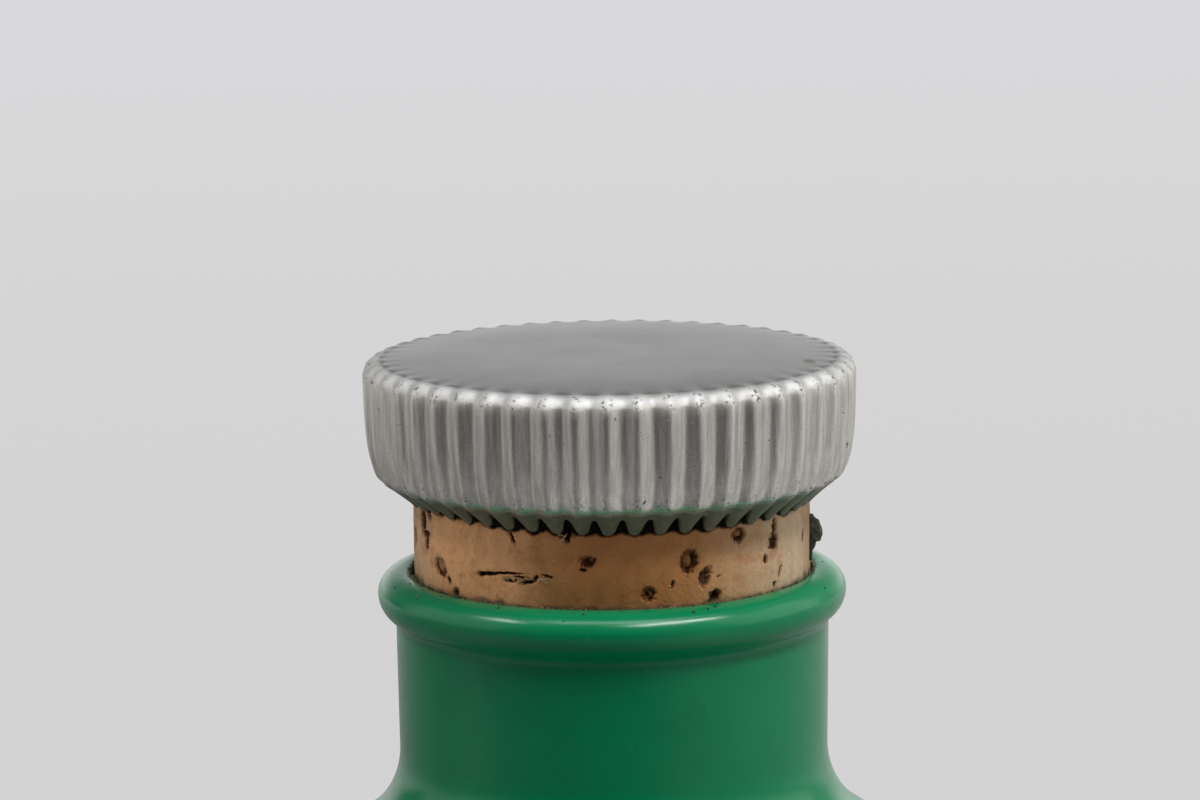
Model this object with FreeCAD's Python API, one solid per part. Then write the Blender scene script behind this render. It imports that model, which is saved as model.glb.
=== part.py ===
"""A green plastic water bottle with a cork stopper under a fluted aluminium cap.

Millimetres, +Z up, the origin at the centre of the flat base.  Four nodes, all one body:
bottle (solid, with a bored mouth), cork (fills the mouth and the cap), cap (fluted shell
pressed over the cork) and chip (a torn flake standing out of the cork's side).
"""
import FreeCAD, Part
import math
import os

Vector = FreeCAD.Vector
AXIS = Vector(0, 0, 1)
ORIGIN = Vector(0, 0, 0)

# Overall sizes
HEIGHT = 200.0
BODY_RADIUS = 36.5
CAP_RADIUS = 25.0
CORK_RADIUS = 20.4

# Bottle: heights are measured up from the base
BASE_EDGE_RADIUS = 8.0
SHOULDER_RADIUS = 14.0
SHOULDER_SLOPE = 35.0            # degrees below level, where neck fillet and shoulder meet
NECK_FILLET_RADIUS = 9.5
NECK_RADIUS_TOP = 22.1
NECK_RADIUS_BOTTOM = 21.95
NECK_BOTTOM = 159.6
LIP_HEIGHT = 175.7               # the level where the rolled lip is widest
LIP_CENTRE_RADIUS = 21.3
LIP_REACH = 2.6                  # from the lip's centre out to its widest point
LIP_RISE = 2.15                  # from the widest level up to the crest
LIP_DROP = 2.8                   # from the widest level down, to the end of the full ellipse

# Cork
CORK_BOTTOM = 167.5
CAP_PLATE = 1.7                  # metal above the cork

# Cap: heights are measured down from the edge of its domed top
DOME_RISE = 0.4
CAP_EDGE_TOP = HEIGHT - DOME_RISE
TOP_RADIUS = 23.4
DOME_RADIUS = 23.3               # a hair inside the top's edge
RIM_RADIUS = 23.54
RIM_DROP = 11.83
FLUTES = 50
FLUTE_DEPTH = 0.6
POINTS_PER_FLUTE = 6
CREST_ANGLE = -0.7               # degrees from the front, -Y, to the nearest ridge

# Each row of the skirt: drop below the top edge, ridge radius, share of the flute's depth
SKIRT_ROWS = (
    (0.0, TOP_RADIUS, 0.0),
    (0.3, 23.9, 0.35),
    (0.7, 24.4, 0.7),
    (1.2, 24.75, 0.9),
    (1.9, 24.97, 1.0),
    (3.2, CAP_RADIUS, 1.0),
    (6.1, 24.9, 1.0),
    (8.1, 24.75, 1.0),
    (9.6, 24.5, 1.0),
    (10.9, 24.05, 1.0),
    (RIM_DROP, RIM_RADIUS, 1.0),
)

# Each row under the rim: drop, radius at the tongues, radius at the gaps between them
UNDER_ROWS = (
    (RIM_DROP, RIM_RADIUS, RIM_RADIUS - FLUTE_DEPTH),
    (12.5, 22.85, 21.7),
    (13.2, 22.1, 20.7),
    (13.9, 21.35, 19.9),
    (14.6, 20.55, 19.3),
    (15.3, 19.8, 18.9),
)

# Chip on the cork: angle from the front, outline as (distance out of the cork, height)
CHIP_ANGLE = 88.0
CHIP_THICKNESS = 0.9
CHIP_OUTLINE = (
    (-0.6, 183.3),
    (0.25, 183.2),
    (0.75, 182.5),
    (1.25, 181.4),
    (1.15, 180.6),
    (0.65, 180.3),
    (0.3, 179.6),
    (0.12, 178.6),
    (-0.6, 178.5),
)


def at(radius, height):
    """A point of a turned profile, in the XZ plane."""
    return Vector(radius, 0, height)


def segment(start, end):
    return Part.LineSegment(start, end).toShape()


def turned(edges):
    """Revolves a closed chain of profile edges about the Z axis."""
    return Part.Face(Part.Wire(edges)).revolve(ORIGIN, AXIS, 360)


def circular_arc(centre, radius, start_degrees, end_degrees):
    """An arc in the XZ plane; the angles are taken from +X towards +Z."""
    middle = (start_degrees + end_degrees) / 2.0
    points = []
    for degrees in (start_degrees, middle, end_degrees):
        turn = math.radians(degrees)
        points.append(centre + Vector(radius * math.cos(turn), 0, radius * math.sin(turn)))
    return Part.Arc(points[0], points[1], points[2]).toShape(), points[0], points[2]


def elliptic_arc(centre, major, minor, start, end):
    """An arc of an ellipse given by its two half axes, as vectors, and two angles."""
    ellipse = Part.Ellipse(centre + major, centre + minor, centre)
    return Part.ArcOfEllipse(ellipse, start, end).toShape()


def lip_edges():
    """The rolled lip: half an ellipse above its widest level, a deeper one below."""
    centre = at(LIP_CENTRE_RADIUS, LIP_HEIGHT)
    out = Vector(LIP_REACH, 0, 0)
    inner = math.acos((CORK_RADIUS - LIP_CENTRE_RADIUS) / LIP_REACH)
    upper = elliptic_arc(centre, out, Vector(0, 0, LIP_RISE), 0.0, inner)
    turn = math.asin((NECK_RADIUS_TOP - LIP_CENTRE_RADIUS) / LIP_REACH)
    lower = elliptic_arc(centre, Vector(0, 0, -LIP_DROP), out, turn, math.pi / 2.0)
    inner_point = at(CORK_RADIUS, LIP_HEIGHT + LIP_RISE * math.sin(inner))
    neck_point = at(NECK_RADIUS_TOP, LIP_HEIGHT - LIP_DROP * math.cos(turn))
    return upper, lower, inner_point, neck_point


def make_bottle():
    """Mouth, rolled lip, neck, hollow fillet, round shoulder, straight body, flat base."""
    upper, lower, mouth, neck_top = lip_edges()
    neck_bottom = at(NECK_RADIUS_BOTTOM, NECK_BOTTOM)
    fillet_centre = neck_bottom + Vector(NECK_FILLET_RADIUS, 0, 0)
    fillet, _, fillet_end = circular_arc(
        fillet_centre, NECK_FILLET_RADIUS, 180.0, 270.0 - SHOULDER_SLOPE)
    slope = math.radians(SHOULDER_SLOPE)
    shoulder_start_radius = BODY_RADIUS - SHOULDER_RADIUS * (1.0 - math.sin(slope))
    run = (shoulder_start_radius - fillet_end.x) / math.cos(slope)
    shoulder_start = fillet_end + Vector(run * math.cos(slope), 0, -run * math.sin(slope))
    shoulder_centre = at(
        BODY_RADIUS - SHOULDER_RADIUS, shoulder_start.z - SHOULDER_RADIUS * math.cos(slope))
    shoulder, _, body_top = circular_arc(
        shoulder_centre, SHOULDER_RADIUS, 90.0 - SHOULDER_SLOPE, 0.0)
    base_centre = at(BODY_RADIUS - BASE_EDGE_RADIUS, BASE_EDGE_RADIUS)
    base_edge, body_bottom, base_point = circular_arc(base_centre, BASE_EDGE_RADIUS, 0.0, -90.0)
    bore_bottom = at(CORK_RADIUS, CORK_BOTTOM)
    bore_middle = at(0.0, CORK_BOTTOM)
    return turned([
        upper,
        lower,
        segment(neck_top, neck_bottom),
        fillet,
        segment(fillet_end, shoulder_start),
        shoulder,
        segment(body_top, body_bottom),
        base_edge,
        segment(base_point, ORIGIN),
        segment(ORIGIN, bore_middle),
        segment(bore_middle, bore_bottom),
        segment(bore_bottom, mouth),
    ])


def make_cork():
    """A straight plug from inside the neck up to the cap's plate."""
    top = CAP_EDGE_TOP - CAP_PLATE
    return Part.makeCylinder(CORK_RADIUS, top - CORK_BOTTOM, Vector(0, 0, CORK_BOTTOM))


def around(radius, degrees, height):
    """A point at an angle from the front, -Y, towards +X."""
    angle = math.radians(degrees)
    return Vector(radius * math.sin(angle), -radius * math.cos(angle), height)


def fluted_outline(drop, ridge_radius, groove_radius):
    """One level of the cap: a cosine wave round the axis, one edge from ridge to ridge."""
    height = CAP_EDGE_TOP - drop
    mean = (ridge_radius + groove_radius) / 2.0
    wave = (ridge_radius - groove_radius) / 2.0
    pitch = 360.0 / FLUTES
    edges = []
    for flute in range(FLUTES):
        start = CREST_ANGLE + pitch * flute
        points = []
        for step in range(POINTS_PER_FLUTE + 1):
            share = step / POINTS_PER_FLUTE
            radius = mean + wave * math.cos(2.0 * math.pi * share)
            points.append(around(radius, start + pitch * share, height))
        curve = Part.BSplineCurve()
        curve.interpolate(
            Points=points,
            InitialTangent=around(1.0, start + 90.0, 0.0),
            FinalTangent=around(1.0, start + pitch + 90.0, 0.0),
        )
        edges.append(curve.toShape())
    return Part.Wire(edges)


def make_cap():
    """Domed top, rounded edge, fluted skirt, tongues folded in under the rim to the cork."""
    skirt_wires = []
    for drop, radius, share in SKIRT_ROWS:
        skirt_wires.append(fluted_outline(drop, radius, radius - share * FLUTE_DEPTH))
    under_wires = []
    for drop, tongue, gap in UNDER_ROWS:
        under_wires.append(fluted_outline(drop, tongue, gap))
    skirt = Part.makeLoft(skirt_wires, True, False)
    under = Part.makeLoft(under_wires, True, False)
    dome_edge = at(DOME_RADIUS, CAP_EDGE_TOP)
    dome_top = at(0.0, HEIGHT)
    sphere_radius = (DOME_RADIUS ** 2 + DOME_RISE ** 2) / (2.0 * DOME_RISE)
    half = math.asin(DOME_RADIUS / sphere_radius) / 2.0
    dome_middle = at(
        sphere_radius * math.sin(half), HEIGHT - sphere_radius * (1.0 - math.cos(half)))
    dome_foot = at(0.0, CAP_EDGE_TOP)
    dome = turned([
        Part.Arc(dome_edge, dome_middle, dome_top).toShape(),
        segment(dome_top, dome_foot),
        segment(dome_foot, dome_edge),
    ])
    shell = skirt.fuse([under, dome])
    return shell.cut(make_cork())


def make_chip():
    """A flat torn flake of the cork's skin, standing out of its side."""
    points = []
    for reach, height in CHIP_OUTLINE:
        points.append(Vector(CORK_RADIUS + reach, -CHIP_THICKNESS / 2.0, height))
    outline = Part.makePolygon(points + [points[0]])
    flake = Part.Face(outline).extrude(Vector(0, CHIP_THICKNESS, 0))
    flake.rotate(ORIGIN, AXIS, CHIP_ANGLE - 90.0)
    return flake.cut(make_cork())


def main():
    os.makedirs("parts", exist_ok=True)
    nodes = {
        "bottle": make_bottle(),
        "cork": make_cork(),
        "cap": make_cap(),
        "chip": make_chip(),
    }
    for name, shape in nodes.items():
        print(name, "solids", len(shape.Solids), "valid", shape.isValid(), "mm3", round(shape.Volume))
        shape.Solids[0].exportStep("parts/" + name + ".step")


main()
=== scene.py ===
import math
import bpy
import numpy as np
from mathutils import Matrix, Vector


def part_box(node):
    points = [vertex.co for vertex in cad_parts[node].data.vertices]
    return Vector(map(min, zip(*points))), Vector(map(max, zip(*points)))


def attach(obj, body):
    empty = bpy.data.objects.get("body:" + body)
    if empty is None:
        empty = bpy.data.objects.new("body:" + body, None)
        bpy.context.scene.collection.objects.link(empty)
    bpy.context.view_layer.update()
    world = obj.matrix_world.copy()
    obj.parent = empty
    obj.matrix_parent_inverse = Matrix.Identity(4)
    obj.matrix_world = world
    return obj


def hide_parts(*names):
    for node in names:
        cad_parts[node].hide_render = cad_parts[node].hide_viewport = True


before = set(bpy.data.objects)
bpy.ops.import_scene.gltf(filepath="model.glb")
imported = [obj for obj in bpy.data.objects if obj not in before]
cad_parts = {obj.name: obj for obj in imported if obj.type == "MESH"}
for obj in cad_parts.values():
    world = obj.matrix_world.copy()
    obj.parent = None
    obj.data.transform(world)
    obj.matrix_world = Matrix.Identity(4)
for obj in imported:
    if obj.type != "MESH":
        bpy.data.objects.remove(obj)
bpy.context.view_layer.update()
print("frame loaded:", sorted(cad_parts))

# every size below is in millimetres; mm turns it into metres as a mesh is made
mm = 0.001
corkLow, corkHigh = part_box("cork")
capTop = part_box("cap")[1].z / mm           # crown of the domed top
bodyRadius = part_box("bottle")[1].x / mm
corkRadius = corkHigh.x / mm
corkFoot = corkLow.z / mm
corkHead = corkHigh.z / mm


def ringMesh(name, points, values=None, startPole=None, endPole=None):
    # a grid of points (rows, columns, xyz), closed round its columns; a pole closes an end row to one point
    rows, columns = points.shape[:2]
    corners = points.reshape(-1, 3)
    here = np.arange(rows * columns).reshape(rows, columns)
    ahead = np.roll(here, -1, axis=1)
    quads = np.stack([here[:-1], ahead[:-1], ahead[1:], here[1:]], axis=-1).reshape(-1, 4)
    fans = []
    extra = []
    for pole, row, turn in ((startPole, 0, 1), (endPole, rows - 1, -1)):
        if pole is not None:
            tip = np.full(columns, len(corners) + len(extra))
            extra.append(pole)
            fans.append(np.stack([tip, ahead[row], here[row]][::turn], axis=-1))
    if extra:
        corners = np.concatenate([corners, np.array(extra, float)])
    mesh = bpy.data.meshes.new(name)
    loops = np.concatenate([quads.ravel()] + [fan.ravel() for fan in fans])
    sizes = np.concatenate([np.full(len(quads), 4)] + [np.full(len(fan), 3) for fan in fans])
    mesh.vertices.add(len(corners))
    mesh.vertices.foreach_set("co", (corners * mm).astype(np.float32).ravel())
    mesh.loops.add(len(loops))
    mesh.loops.foreach_set("vertex_index", loops.astype(np.int32))
    mesh.polygons.add(len(sizes))
    mesh.polygons.foreach_set("loop_start", (np.cumsum(sizes) - sizes).astype(np.int32))
    mesh.polygons.foreach_set("use_smooth", np.ones(len(sizes), bool))
    for key, value in (values or {}).items():
        filled = np.concatenate([np.broadcast_to(value, (rows, columns)).ravel(), np.zeros(len(extra))])
        mesh.attributes.new(key, "FLOAT", "POINT").data.foreach_set("value", filled.astype(np.float32))
    mesh.update(calc_edges=True)
    mesh.validate()
    piece = bpy.data.objects.new(name, mesh)
    bpy.context.scene.collection.objects.link(piece)
    return piece


def listMesh(name, corners, faces, smooth=False):
    # a mesh from plain arrays of corners, in millimetres, and faces
    mesh = bpy.data.meshes.new(name)
    mesh.from_pydata((np.asarray(corners, float) * mm).tolist(), [], np.asarray(faces).tolist())
    mesh.polygons.foreach_set("use_smooth", np.full(len(mesh.polygons), smooth))
    mesh.update()
    piece = bpy.data.objects.new(name, mesh)
    bpy.context.scene.collection.objects.link(piece)
    return piece


def arcRun(centre, radii, fromDegrees, toDegrees, count):
    # points on an ellipse: centre + (a cos t, b sin t)
    turn = np.radians(np.linspace(fromDegrees, toDegrees, count))
    return np.stack([centre[0] + radii[0] * np.cos(turn), centre[1] + radii[1] * np.sin(turn)], axis=1)


def straightRun(start, end, count):
    # (1 - t) start + t end
    share = np.linspace(0.0, 1.0, count)[:, None]
    return np.array(start) * (1.0 - share) + np.array(end) * share


def smoothRun(knots, count):
    # Catmull-Rom through the knots: cubic pieces whose slope at a knot is half the step between
    # its neighbours
    knots = np.asarray(knots, float)
    padded = np.concatenate([[2 * knots[0] - knots[1]], knots, [2 * knots[-1] - knots[-2]]])
    place = np.linspace(0.0, len(knots) - 1.0001, count)
    index = place.astype(int)
    t = (place - index)[:, None]
    before, start, end, after = padded[index], padded[index + 1], padded[index + 2], padded[index + 3]
    return 0.5 * (2 * start + (end - before) * t + (2 * before - 5 * start + 4 * end - after) * t ** 2
                  + (3 * start - before - 3 * end + after) * t ** 3)


def easeStep(low, high, value):
    # 0 below low, 1 above high, 3t^2 - 2t^3 between
    t = np.clip((value - low) / (high - low), 0.0, 1.0)
    return t * t * (3.0 - 2.0 * t)


def ripple(angle, height, seed, waves, roundTurns, upTurns):
    # a sum of cosine waves that close round the axis, of random direction and phase, about -1 to 1
    dice = np.random.default_rng(seed)
    total = np.zeros(np.broadcast(angle, height).shape)
    for _ in range(waves):
        turns = dice.integers(1, roundTurns + 1)
        lift = dice.uniform(-upTurns, upTurns)
        total = total + np.cos(turns * angle + lift * height + dice.uniform(0.0, 2.0 * math.pi))
    return total / math.sqrt(waves)


def around(radius, angle, height):
    # cylinder coordinates, the angle measured from the front, -Y, towards +X
    return np.stack(np.broadcast_arrays(radius * np.sin(angle), -radius * np.cos(angle), height), axis=-1)


class Wire:
    # one output socket of a shader node; sums on it add Math nodes
    def __init__(self, bench, socket):
        self.bench = bench
        self.socket = socket

    def maths(self, operation, *others):
        return self.bench.node("ShaderNodeMath", {"operation": operation}, [self, *others])

    def __add__(self, other):
        return self.maths("ADD", other)

    def __radd__(self, other):
        return self.maths("ADD", other)

    def __sub__(self, other):
        return self.maths("SUBTRACT", other)

    def __rsub__(self, other):
        return self.bench.node("ShaderNodeMath", {"operation": "SUBTRACT"}, [other, self])

    def __mul__(self, other):
        return self.maths("MULTIPLY", other)

    def __rmul__(self, other):
        return self.maths("MULTIPLY", other)

    def __pow__(self, other):
        return self.maths("POWER", other)

    def ease(self, low, high):
        # 0 at low, 1 at high, smooth between
        settings = {"interpolation_type": "SMOOTHSTEP"}
        return self.bench.node("ShaderNodeMapRange", settings, [self, low, high, 0.0, 1.0])


class Bench:
    # the node tree of one material or world
    def __init__(self, tree):
        self.tree = tree
        tree.nodes.clear()

    def node(self, kind, settings=None, inputs=None, output=0):
        # any node: its settings first, then a value or a wire for each socket
        made = self.tree.nodes.new(kind)
        for key, value in (settings or {}).items():
            setattr(made, key, value)
        pairs = enumerate(inputs) if isinstance(inputs, list) else (inputs or {}).items()
        for key, value in pairs:
            if isinstance(value, Wire):
                self.tree.links.new(value.socket, made.inputs[key])
            else:
                made.inputs[key].default_value = value
        return Wire(self, made.outputs[output] if len(made.outputs) else None)

    def parts(self, vector):
        # x, y and z of a vector
        split = self.node("ShaderNodeSeparateXYZ", None, [vector])
        outputs = split.socket.node.outputs
        return Wire(self, outputs[0]), Wire(self, outputs[1]), Wire(self, outputs[2])

    def blend(self, share, low, high):
        # colour low where share is 0, high where it is 1
        colours = [value if isinstance(value, Wire) else (*value, 1.0) for value in (low, high)]
        settings = {"data_type": "RGBA"}
        return self.node("ShaderNodeMix", settings, {0: share, 6: colours[0], 7: colours[1]}, output=2)

    def tint(self, colour, factor):
        # a colour times a value that varies
        settings = {"operation": "SCALE"}
        return self.node("ShaderNodeVectorMath", settings, {0: colour, "Scale": factor})

    def stretched(self, scale, turn=(0.0, 0.0, 0.0)):
        # object coordinates, scaled along each axis
        place = self.node("ShaderNodeTexCoord", output=3)
        return self.node("ShaderNodeMapping", None, {"Vector": place, "Scale": scale, "Rotation": turn})

    def noise(self, vector, scale, detail=3.0, roughness=0.55):
        inputs = {"Vector": vector, "Scale": scale, "Detail": detail, "Roughness": roughness}
        return self.node("ShaderNodeTexNoise", None, inputs)

    def attribute(self, name):
        return self.node("ShaderNodeAttribute", {"attribute_name": name}, output=2)

    def bump(self, height, strength, distance, under=None):
        inputs = {"Height": height, "Strength": strength, "Distance": distance}
        if under is not None:
            inputs["Normal"] = under
        return self.node("ShaderNodeBump", None, inputs)

    def finish(self, inputs):
        shader = self.node("ShaderNodeBsdfPrincipled", None, inputs)
        self.node("ShaderNodeOutputMaterial", None, [shader])


def newFinish(name):
    finish = bpy.data.materials.new(name)
    finish.use_nodes = True
    return finish, Bench(finish.node_tree)


def dress(piece, finish, slot, *nodes):
    # material, body, slot (not used) and the CAD nodes that the piece stands for
    piece.data.materials.clear()
    piece.data.materials.append(finish)
    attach(piece, "root")
    if nodes:
        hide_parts(*nodes)
    return piece


camera = {
    "lens": 148.05,
    "sensor": 36.0,
    "distance": 500.0,           # from the axis point below, which is in the cap's middle
    "axisDrop": 6.5,             # below the crown of the cap
    "elevation": 10.06,
    "roll": 0.73,
    "aimRight": -0.97,
    "aimUp": 1.52,
}


def makeCamera():
    # stands off the axis point at its elevation, aims just beside it, then rolls about its own line of sight
    centre = Vector((0.0, 0.0, (capTop - camera["axisDrop"]) * mm))
    tilt = math.radians(camera["elevation"])
    outward = Vector((0.0, -math.cos(tilt), math.sin(tilt)))
    upward = Vector((0.0, math.sin(tilt), math.cos(tilt)))
    data = bpy.data.cameras.new("camera")
    data.lens = camera["lens"]
    data.sensor_width = camera["sensor"]
    data.clip_start = 0.01
    data.clip_end = 50.0
    eye = bpy.data.objects.new("camera", data)
    bpy.context.scene.collection.objects.link(eye)
    eye.location = centre + outward * camera["distance"] * mm
    aim = centre + Vector((camera["aimRight"] * mm, 0.0, 0.0)) + upward * camera["aimUp"] * mm
    look = (aim - eye.location).to_track_quat("-Z", "Y").to_matrix()
    eye.rotation_euler = (look @ Matrix.Rotation(math.radians(-camera["roll"]), 3, "Z")).to_euler()
    bpy.context.scene.camera = eye


makeCamera()
print("camera placed")


bottle = {
    "columns": 288,
    "baseEdge": 8.0,
    "shoulder": 14.0,
    "shoulderSlope": 35.0,       # degrees below level where fillet and shoulder meet
    "fillet": 9.5,
    "neckTop": 22.1,
    "neckBottom": 21.95,
    "neckFoot": 159.6,
    "lipLevel": 175.7,
    "lipCentre": 21.3,
    "lipReach": 2.6,
    "lipRise": 2.15,
    "lipDrop": 2.8,
    "creaseTurn": 57.0,          # degrees below level where the lip's roll turns into the neck
    "boreGap": 0.03,
    "waver": 0.03,
    "waverShift": -2.3,          # keeps the waver inside the true radius
    "grimeHeights": (0.1768, 0.1774),  # metres; grime lies above these, on the lip's inner slope
    "colour": (0.0, 0.20, 0.075),
    "deepColour": (0.0, 0.17, 0.062),
    "dustColour": (0.10, 0.17, 0.11),
    "grimeColour": (0.035, 0.028, 0.014),
    "roughness": 0.21,
}


def bottleProfile():
    # base, rounded edge, straight body, round shoulder, hollow fillet, neck, rolled lip, bore
    s = bottle
    slope = math.radians(s["shoulderSlope"])
    filletCentre = (s["neckBottom"] + s["fillet"], s["neckFoot"])
    fillet = arcRun(filletCentre, (s["fillet"],) * 2, 270.0 - s["shoulderSlope"], 180.0, 18)
    startRadius = bodyRadius - s["shoulder"] * (1.0 - math.sin(slope))
    fall = (startRadius - fillet[0, 0]) * math.tan(slope)
    shoulderCentre = (bodyRadius - s["shoulder"], fillet[0, 1] - fall - s["shoulder"] * math.cos(slope))
    shoulder = arcRun(shoulderCentre, (s["shoulder"],) * 2, 0.0, 90.0 - s["shoulderSlope"], 26)
    base = arcRun((bodyRadius - s["baseEdge"], s["baseEdge"]), (s["baseEdge"],) * 2, -90.0, 0.0, 16)
    lipMiddle = (s["lipCentre"], s["lipLevel"])
    turn = math.radians(s["creaseTurn"])
    lower = arcRun(lipMiddle, (s["lipReach"], s["lipDrop"]), -s["creaseTurn"], 0.0, 24)
    inset = lower[0, 0] - s["neckTop"]
    fall = inset * s["lipDrop"] * math.cos(turn) / (s["lipReach"] * math.sin(turn))
    corner = np.array([s["neckTop"], lower[0, 1] - fall])
    neckHead = corner - np.array([0.0, math.hypot(inset, fall)])
    share = np.linspace(0.0, 1.0, 9)[1:-1, None]
    crease = neckHead * (1 - share) ** 2 + 2 * corner * share * (1 - share) + lower[0] * share ** 2
    inner = math.degrees(math.acos((corkRadius + s["boreGap"] - s["lipCentre"]) / s["lipReach"]))
    upper = arcRun(lipMiddle, (s["lipReach"], s["lipRise"]), 0.0, inner, 30)[1:]
    boreFoot = (corkRadius + s["boreGap"], corkFoot + s["boreGap"])
    return np.concatenate([
        straightRun((3.0, 0.0), (bodyRadius - s["baseEdge"], 0.0), 7)[:-1],
        base,
        straightRun((bodyRadius, s["baseEdge"]), shoulder[0], 44)[1:-1],
        shoulder,
        fillet,
        straightRun((s["neckBottom"], s["neckFoot"]), neckHead, 16)[1:],
        crease,
        lower,
        upper,
        straightRun(upper[-1], boreFoot, 6)[1:],
    ])


def makeBottle():
    # the profile turned round the axis, with a waver too small to see but for its reflections
    profile = bottleProfile()
    angle = np.linspace(0.0, 2.0 * math.pi, bottle["columns"], endpoint=False)[None, :]
    radius = profile[:, 0][:, None]
    height = profile[:, 1][:, None]
    free = easeStep(2.0, 12.0, height) * easeStep(bodyRadius * 0.1, bodyRadius * 0.5, radius)
    bored = easeStep(corkRadius + 0.2, corkRadius + 1.2, radius)
    waver = bottle["waver"] * (ripple(angle, height, 11, 9, 5, 0.08) + bottle["waverShift"]) * free * bored
    points = around(radius + waver, angle, height)
    return ringMesh("bottleShell", points, None, (0.0, 0.0, 0.0), (0.0, 0.0, profile[-1, 1]))


def plasticFinish():
    # deep green, a little uneven, with a few specks of dust, and grime where the lip meets the cork
    finish, bench = newFinish("greenPlastic")
    place = bench.stretched((1.0, 1.0, 1.0))
    x, y, z = bench.parts(place)
    radius = (x * x + y * y) ** 0.5
    cloud = bench.noise(place, 55.0, 4.0).ease(0.35, 0.7)
    body = bench.blend(cloud, bottle["colour"], bottle["deepColour"])
    specks = bench.noise(place, 2600.0, 1.0).ease(0.77, 0.82)
    body = bench.blend(specks * 0.5, body, bottle["dustColour"])
    slope = radius * -1000.0 + (corkRadius + 1.0)
    patchy = bench.noise(place, 900.0, 4.0)
    mouth = z.ease(*bottle["grimeHeights"]) * (slope + patchy * 1.2).ease(0.95, 1.5)
    body = bench.blend(mouth * 0.8, body, bottle["grimeColour"])
    grain = bench.noise(place, 1500.0, 2.0)
    soft = bench.noise(place, 120.0, 2.0)
    shine = bottle["roughness"] + cloud * 0.05 + mouth * 0.35 + specks * 0.2
    normal = bench.bump(grain, 0.06, 0.0001)
    normal = bench.bump(soft, 0.05, 0.002, normal)
    bench.finish({"Base Color": body, "Roughness": shine, "Normal": normal, "Specular IOR Level": 0.37})
    return finish


dress(makeBottle(), plasticFinish(), "green_plastic", "bottle")
print("bottle made")


cap = {
    "flutes": 50,
    "crestDegrees": -0.7,        # from the front to the nearest ridge
    "stepsPerFlute": 20,
    "edgeDrop": 0.4,             # the crown stands this much over the top's edge
    "boreGap": 0.01,
    "crownPower": 4.5,           # nearly flat, then steeper towards the edge
    "topRadius": 22.4,
    # from the top's edge down to the rim: (radius, drop below the top's edge) on a ridge
    "ridge": ((22.5, -0.02), (22.95, -0.01), (23.38, 0.0), (23.87, 0.08), (24.32, 0.31), (24.67, 0.66),
              (24.9, 1.1), (24.98, 1.6), (24.99, 2.6), (24.95, 4.2), (24.88, 6.0), (24.74, 7.9), (24.5, 9.5),
              (24.22, 10.6), (23.93, 11.35), (23.54, 11.83)),
    # the same rows in a groove
    "groove": ((22.4, 0.01), (22.8, 0.07), (23.18, 0.2), (23.55, 0.28), (23.885, 0.44), (24.15, 0.7),
               (24.32, 1.03), (24.38, 1.4), (24.39, 2.5), (24.35, 4.2), (24.28, 6.0), (24.14, 7.9),
               (23.9, 9.5), (23.62, 10.6), (23.33, 11.35), (22.98, 11.8)),
    # under the rim: a tongue runs straight in to the cork, the gap beside it opens into a pocket painted
    # dark as shade
    "tongue": ((23.54, 11.83), (22.75, 12.42), (21.95, 13.1), (21.15, 13.8), (20.41, 14.55)),
    "gap": ((22.98, 11.8), (22.55, 12.3), (22.1, 12.75), (21.5, 12.2), (20.41, 11.5)),
    "tongueHalfWidth": (0.5, 0.5, 0.45, 0.39, 0.30),  # as a share of a flute, from the rim to the cork
    "tongueEdge": (-0.06, 0.11),      # from the half width: where a tongue turns down into its gap
    "pocketEdge": (0.03, 0.16),       # and where the gap's painted shade begins
    "tongueCrown": 0.45,
    "tipLift": 0.35,             # tongues on the left end a little higher, where the cap sits crooked
    "colour": (0.93, 0.895, 0.835),
    "darkColour": (0.70, 0.67, 0.62),
    "topColour": (0.60, 0.60, 0.595),
    "topShade": (0.52, 0.52, 0.51),
    "grimeColour": (0.05, 0.045, 0.035),
    # painted shade: the gaps' pockets nearly black, the underside and the rim's lower edge dark
    "pocketShadeColour": (0.012, 0.011, 0.009),
    "underShadeColour": (0.175, 0.18, 0.130),
    "hemShadeColour": (0.26, 0.26, 0.23),
    "stainColour": (0.20, 0.13, 0.06),
    "stain": (0.0200, -0.0057),  # metres; a small brown stain on the top, near its right edge
    "roughness": 0.34,
}


def capRows():
    # ridge and groove profiles row by row, and how far each row has gone under the rim
    crownRadius = np.linspace(1.5, cap["topRadius"], 16)[:-1]
    crownShare = (crownRadius / cap["topRadius"]) ** cap["crownPower"]
    crown = np.stack([crownRadius, -cap["edgeDrop"] * (1.0 - crownShare)], axis=1)
    ridge = smoothRun(cap["ridge"], 58)
    groove = smoothRun(cap["groove"], 58)
    under = np.linspace(0.0, 1.0, 22)[1:]
    places = np.linspace(0.0, 1.0, len(cap["tongue"]))
    tongue = np.stack([np.interp(under, places, np.array(cap["tongue"])[:, k]) for k in (0, 1)], axis=1)
    gap = np.stack([np.interp(under, places, np.array(cap["gap"])[:, k]) for k in (0, 1)], axis=1)
    ridges = np.concatenate([crown, ridge, tongue])
    grooves = np.concatenate([crown, groove, gap])
    gone = np.concatenate([np.zeros(len(crown) + len(ridge)), under])
    level = np.concatenate([np.zeros(len(crown)), np.linspace(0.0, 1.0, len(ridge)), np.ones(len(under))])
    return ridges, grooves, gone, level


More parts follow.
